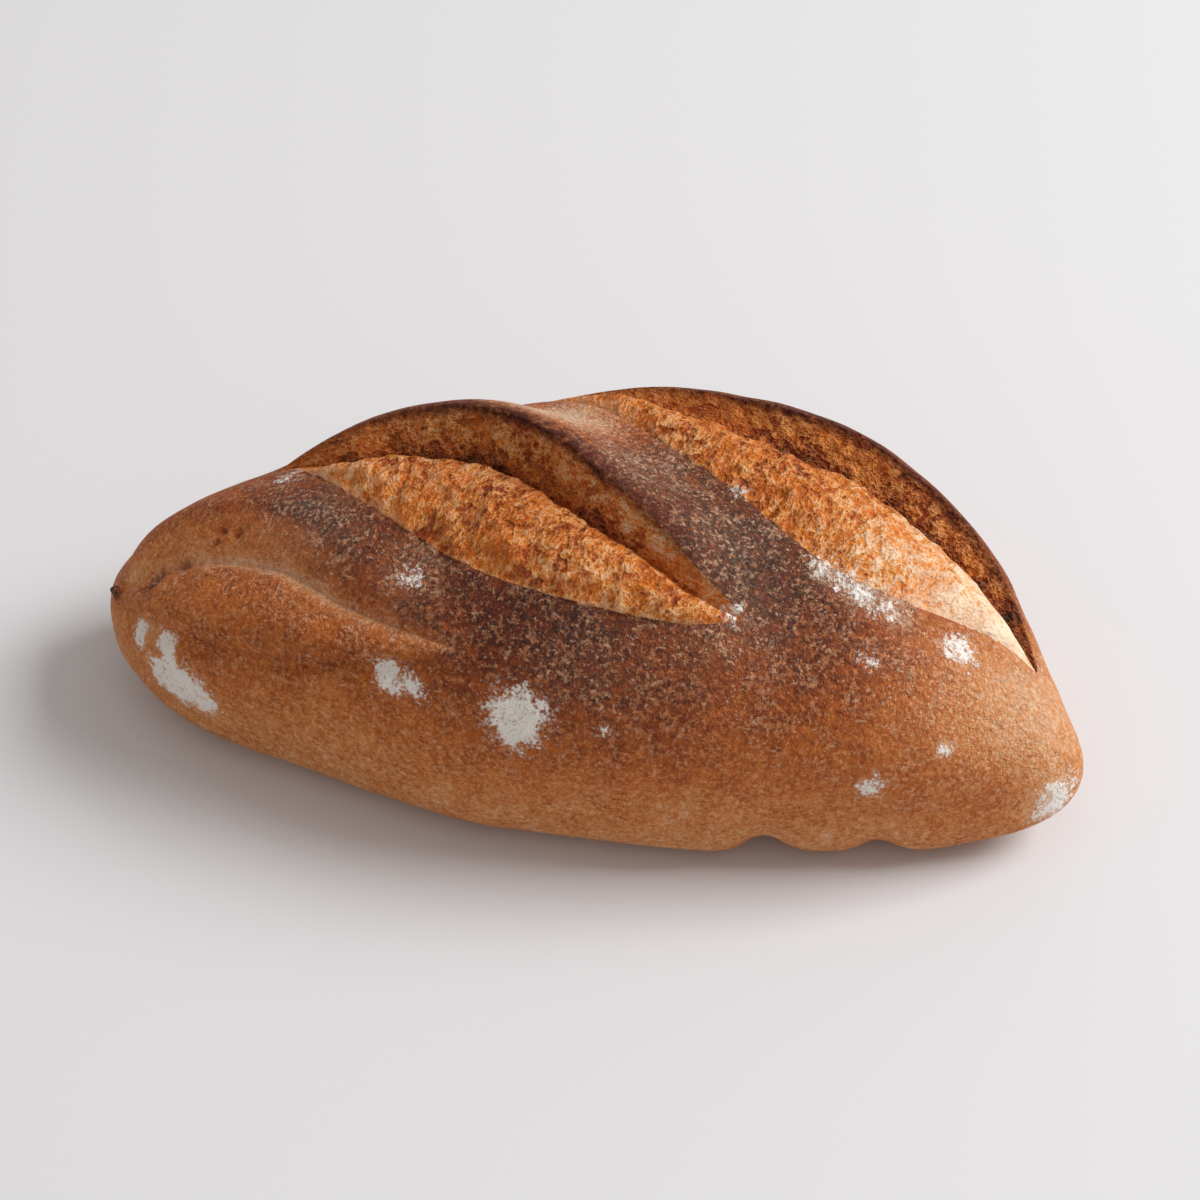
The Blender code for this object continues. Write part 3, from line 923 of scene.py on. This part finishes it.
def crumb_colour(n, grain, coarseness):
    """The torn crumb: hollowed, with painted shade in its hollows, red pits, golden parts and painted
    highlights on its strands.
    """
    # Darker in the hollows as painted shade, lighter on the strands as painted highlight, and uneven at
    # random
    tone = n.product(n.weigh(0.0, grain, "uneven_and_hollow_shade"), n.add(LEAST_UNEVEN, (coarseness, 1.0 - LEAST_UNEVEN)))
    tone = n.add(n.layer("tone"), (tone, 1.0), (grain["sand"], CRUMB_SAND))
    crumb = n.colours(n.maths("MAXIMUM", tone, n.product(coarseness, PALEST_COARSE)), CRUMB_STOPS)
    redness = n.product(n.step(n.noise("redness"), *LEVELS["redness"]), coarseness)
    reddened = n.maths("MAXIMUM", n.product(redness, RED_SHARE), n.product(grain["pits"], RED_PITS))
    crumb = n.mix(crumb, RED_CRUMB, reddened)
    golden = n.step(n.weigh(n.noise("golden"), grain, "golden"), *LEVELS["golden"])
    crumb = n.mix(crumb, GOLD_CRUMB, n.product(golden, GOLD_SHARE))
    crumb = n.mix(crumb, STRAND_HIGHLIGHT, n.product(n.product(grain["strands"], coarseness), STRAND_HIGHLIGHT_SHARE))
    flecked = n.add(CRUMB_FLECKS, (coarseness, -CRUMB_FLECKS))
    return n.mix(crumb, SPECK_COLOUR, n.product(grain["flecks"], flecked))


def flour_share(n, grain):
    """How far flour hides what it lies on."""
    near = n.step(n.layer("flour"), *LEVELS["near_flour"])
    patches = n.weigh(n.layer("flour"), grain, "patches")
    gaps = n.step(n.noise("gaps"), *LEVELS["gaps"])
    solid = n.product(n.step(patches, *LEVELS["solid"]), n.add(1.0, (gaps, -GAP_SHARE)))
    sparse = n.step(patches, *LEVELS["sparse"])
    fringe = n.product(sparse, n.step(n.noise("fringe"), *LEVELS["fringe"]))
    return n.product(near, n.maths("MAXIMUM", solid, n.product(fringe, FRINGE_SHARE)))


def loaf_material():
    """Crust, torn crumb and flour in one finish, told apart by what the mesh's points carry."""
    n = Nodes("crust")
    grain = {name: n.noise(name) for name in ("sand", "blister", "clusters", "mottle", "clouds")}
    burnt = n.add(n.layer("burnt"), (n.product(n.layer("burnt"), grain["blister"]), 1.0))
    dust_and_crease_light = n.product(n.layer("dust_and_crease_light"), n.maths("SUBTRACT", 1.0, burnt, clamp=True))
    grain["dust_and_crease_light"] = dust_and_crease_light
    grain["gold"] = n.layer("gold")
    grain["flecks"] = n.step(n.weigh(n.noise("flecks"), grain, "flecks"), *LEVELS["flecks"])

    coarseness = n.layer("coarseness")
    fibres = n.vectors("fibres")
    curls = n.maths("ABSOLUTE", n.noise("curls", fibres))
    grain["strands"] = n.maths("SUBTRACT", 1.0, n.step(curls, *LEVELS["strands"]))
    grain["pores"] = n.noise("pores", fibres)
    grain["grains"] = n.noise("grains", fibres)
    grain["pits"] = n.product(n.step(n.noise("pits"), *LEVELS["pits"]), coarseness)
    grain["hollow"] = n.weigh(HOLLOWED, grain, "hollow")

    torn = n.step(n.weigh(n.layer("torn"), grain, "edge"), *LEVELS["torn"])
    flour = flour_share(n, grain)
    colour = n.mix(crust_colour(n, grain, dust_and_crease_light), crumb_colour(n, grain, coarseness), torn)
    colour = n.mix(colour, BURNT_COLOUR, burnt)
    n.put(n.shader.inputs["Base Color"], n.mix(colour, FLOUR_COLOUR, flour))

    height = n.tree.nodes.new("ShaderNodeMix")
    n.put(height.inputs["Factor"], torn)
    n.put(height.inputs[2], n.weigh(0.0, grain, "crust_height"))
    n.put(height.inputs[3], n.product(grain["hollow"], n.add(FINE_DEPTH, (coarseness, COARSE_DEPTH))))
    n.put(n.shader.inputs["Normal"], n.bumped(height.outputs[0], BUMP_HEIGHT))
    roughness = n.weigh(CRUST_ROUGHNESS, {"torn": torn, "flour": flour}, "roughness")
    n.put(n.shader.inputs["Roughness"], roughness)
    n.shader.inputs["Specular IOR Level"].default_value = SPECULAR
    return n.material


def loaf():
    mesh = loaf_mesh()
    mesh.materials.append(loaf_material())
    piece = bpy.data.objects.new("sourdough_loaf", mesh)
    bpy.context.scene.collection.objects.link(piece)
    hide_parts("loaf")
    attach(piece, "root")
    return piece


# The view, as the photo's: from the front and above, a little to the right
CAMERA_AZIMUTH = 13
CAMERA_ELEVATION = 46
CAMERA_DISTANCE = 1.0
CAMERA_TARGET = (-0.0015, 0.0061, 0.03)
LENS = 103

KEY_PLACE = (2.10, 0.85, 2.05)
KEY_SIZE = 1.6
KEY_WATTS = 90.0
KEY_COLOUR = (0.972, 0.984, 1.0)
FILL_COLOUR = (1.0, 0.942, 0.905, 1.0)
FILL_STRENGTH = 0.44

FLOOR_SIZE = 8.0
FLOOR_COLOUR = srgb(225, 225, 227)
FLOOR_ROUGHNESS = 0.85


def camera():
    azimuth, elevation = math.radians(CAMERA_AZIMUTH), math.radians(CAMERA_ELEVATION)
    towards = Vector((
        math.sin(azimuth) * math.cos(elevation),
        -math.cos(azimuth) * math.cos(elevation),
        math.sin(elevation),
    ))
    data = bpy.data.cameras.new("camera")
    data.lens = LENS
    obj = bpy.data.objects.new("camera", data)
    obj.location = Vector(CAMERA_TARGET) + CAMERA_DISTANCE * towards
    obj.rotation_mode = "QUATERNION"
    obj.rotation_quaternion = (-towards).to_track_quat("-Z", "Y")
    bpy.context.scene.collection.objects.link(obj)
    bpy.context.scene.camera = obj


def area_light(name, place, size, watts, colour):
    """A square light that faces the loaf."""
    data = bpy.data.lights.new(name, "AREA")
    data.size = size
    data.energy = watts
    data.color = colour
    obj = bpy.data.objects.new(name, data)
    obj.location = place
    obj.rotation_mode = "QUATERNION"
    obj.rotation_quaternion = (-Vector(place)).to_track_quat("-Z", "Y")
    bpy.context.scene.collection.objects.link(obj)


def lighting():
    area_light("key", KEY_PLACE, KEY_SIZE, KEY_WATTS, KEY_COLOUR)
    world = bpy.data.worlds.new("studio")
    world.use_nodes = True
    background = world.node_tree.nodes["Background"]
    background.inputs["Color"].default_value = FILL_COLOUR
    background.inputs["Strength"].default_value = FILL_STRENGTH
    bpy.context.scene.world = world
    bpy.context.scene.view_settings.view_transform = "Standard"


def floor():
    mesh = bpy.data.meshes.new("floor")
    half = FLOOR_SIZE / 2
    corners = [(-half, -half, 0.0), (half, -half, 0.0), (half, half, 0.0), (-half, half, 0.0)]
    mesh.from_pydata(corners, [], [(0, 1, 2, 3)])
    obj = bpy.data.objects.new("floor", mesh)
    bpy.context.scene.collection.objects.link(obj)
    n = Nodes("floor")
    n.put(n.shader.inputs["Base Color"], FLOOR_COLOUR)
    n.put(n.shader.inputs["Roughness"], FLOOR_ROUGHNESS)
    mesh.materials.append(n.material)


camera()
loaf()
floor()
lighting()
